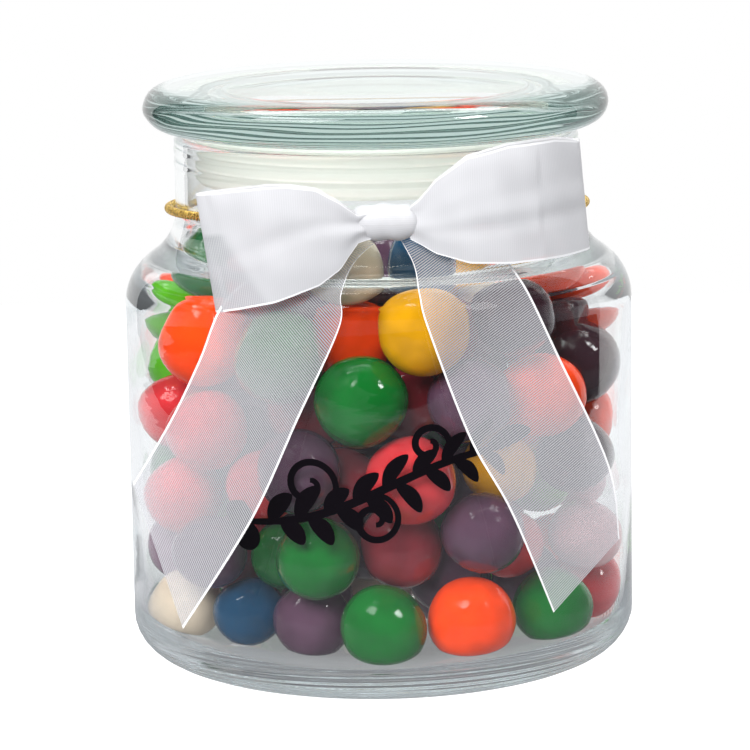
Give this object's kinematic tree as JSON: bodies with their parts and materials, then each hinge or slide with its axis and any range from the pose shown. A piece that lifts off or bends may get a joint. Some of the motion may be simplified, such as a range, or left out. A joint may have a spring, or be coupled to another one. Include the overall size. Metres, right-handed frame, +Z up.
{
  "type": "glass jar of fruit sours",
  "caption": "Round glass storage jar with a glass stopper lid, filled with coloured fruit sour sweets, an organza ribbon bow tied to its neck by a gold elastic cord.",
  "frame": {"origin": "centre of the jar's flat base, where its axis meets the table", "axes": "+Z up along the jar's axis, -Y towards the bow"},
  "size_m": [0.1012, 0.1042, 0.1142],
  "materials": {
    "clear_glass": "polished",
    "lid_glass": "polished",
    "seal_plastic": "satin",
    "sour_sweets": "glossy",
    "gold_cord": "satin",
    "white_organza": "satin",
    "black_print": "satin"
  },
  "bodies": {
    "root": {"jar": "clear_glass", "lid": "lid_glass", "lid_seal": "seal_plastic", "sours": "sour_sweets", "elastic_cord": "gold_cord", "ribbon_bow": "white_organza"}
  },
  "joints": []
}
